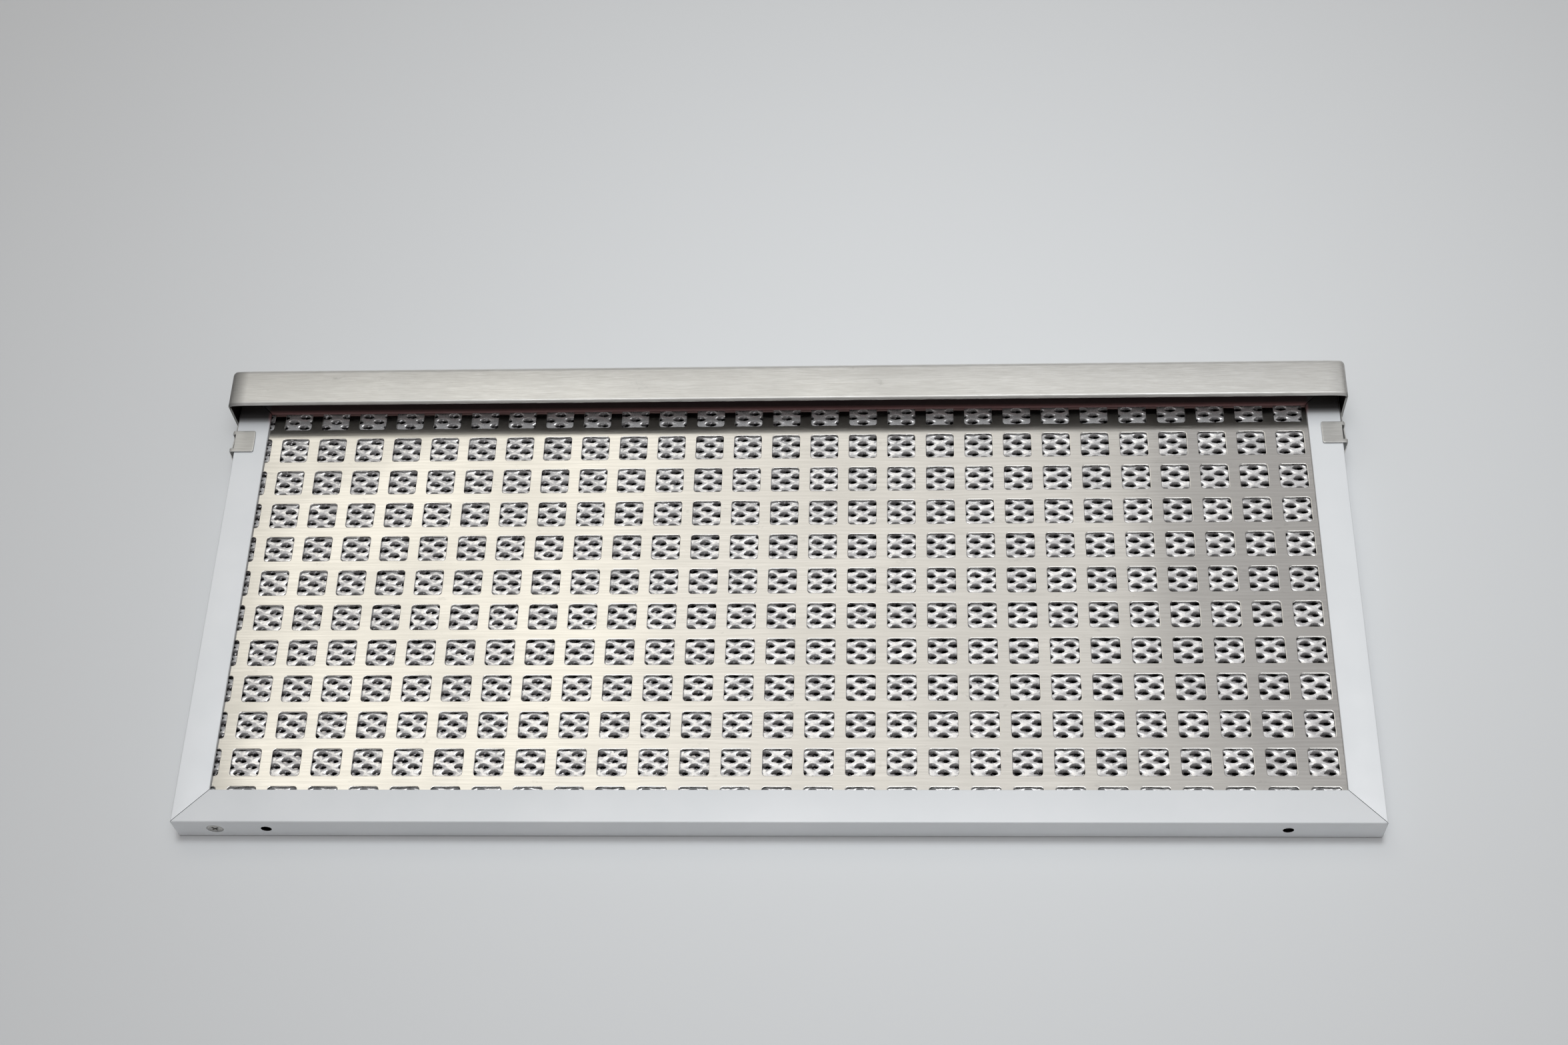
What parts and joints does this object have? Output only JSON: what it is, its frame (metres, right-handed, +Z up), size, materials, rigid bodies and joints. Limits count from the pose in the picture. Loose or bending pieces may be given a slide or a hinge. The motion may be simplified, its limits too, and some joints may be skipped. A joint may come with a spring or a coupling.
{
  "type": "cooker hood grease filter",
  "caption": "Flat metal grease filter cassette for a cooker hood: mitred frame, square-hole face sheet over expanded mesh, raised grip bar and sprung side catches.",
  "frame": {"origin": "centre of the bounding box in X and Y, at the underside of the frame", "axes": "+X along the grip bar, +Y from the front rail towards the grip bar, +Z up from the back grid towards the face sheet"},
  "size_m": [0.4084, 0.1768, 0.0227],
  "materials": {
    "frame_aluminium": "satin anodised, pale and slightly blue",
    "corner_key_aluminium": "mill finish",
    "screw_steel": "bright plated steel, slightly dull",
    "face_sheet_steel": "satin stainless with a fine grain along the length",
    "back_grid_aluminium": "mill finish sheet",
    "mesh_foil": "bright expanded foil",
    "grip_bar_steel": "brushed stainless, grain along the length",
    "rivet_aluminium": "plain",
    "catch_spring_steel": "spring stainless, lightly brushed"
  },
  "bodies": {
    "cassette": {"front_rail": "frame_aluminium", "rear_rail": "frame_aluminium", "left_rail": "frame_aluminium", "right_rail": "frame_aluminium", "corner_key_front_left": "corner_key_aluminium", "corner_key_front_right": "corner_key_aluminium", "corner_key_rear_left": "corner_key_aluminium", "corner_key_rear_right": "corner_key_aluminium", "corner_screw": "screw_steel", "face_sheet": "face_sheet_steel", "back_grid": "back_grid_aluminium", "mesh_layer_1": "mesh_foil", "mesh_layer_2": "mesh_foil", "mesh_layer_3": "mesh_foil", "mesh_layer_4": "mesh_foil", "mesh_layer_5": "mesh_foil", "mesh_layer_6": "mesh_foil", "grip_bar": "grip_bar_steel", "bar_rivet_1": "rivet_aluminium", "bar_rivet_2": "rivet_aluminium", "bar_rivet_3": "rivet_aluminium", "bar_rivet_4": "rivet_aluminium", "left_catch_rivet": "rivet_aluminium", "right_catch_rivet": "rivet_aluminium"},
    "left_catch": {"left_catch": "catch_spring_steel"},
    "right_catch": {"right_catch": "catch_spring_steel"}
  },
  "joints": [
    {"name": "left_catch_press", "type": "hinge", "parent": "cassette", "child": "left_catch", "pos_m": [-0.2029, 0.08, 0.006], "axis": [0, 0, 1], "range_deg": [0, 3], "stiffness_Nm_per_rad": 0.6, "springref_deg": -0.57},
    {"name": "right_catch_press", "type": "hinge", "parent": "cassette", "child": "right_catch", "pos_m": [0.2029, 0.08, 0.006], "axis": [0, 0, -1], "range_deg": [0, 3], "stiffness_Nm_per_rad": 0.6, "springref_deg": -0.57}
  ]
}
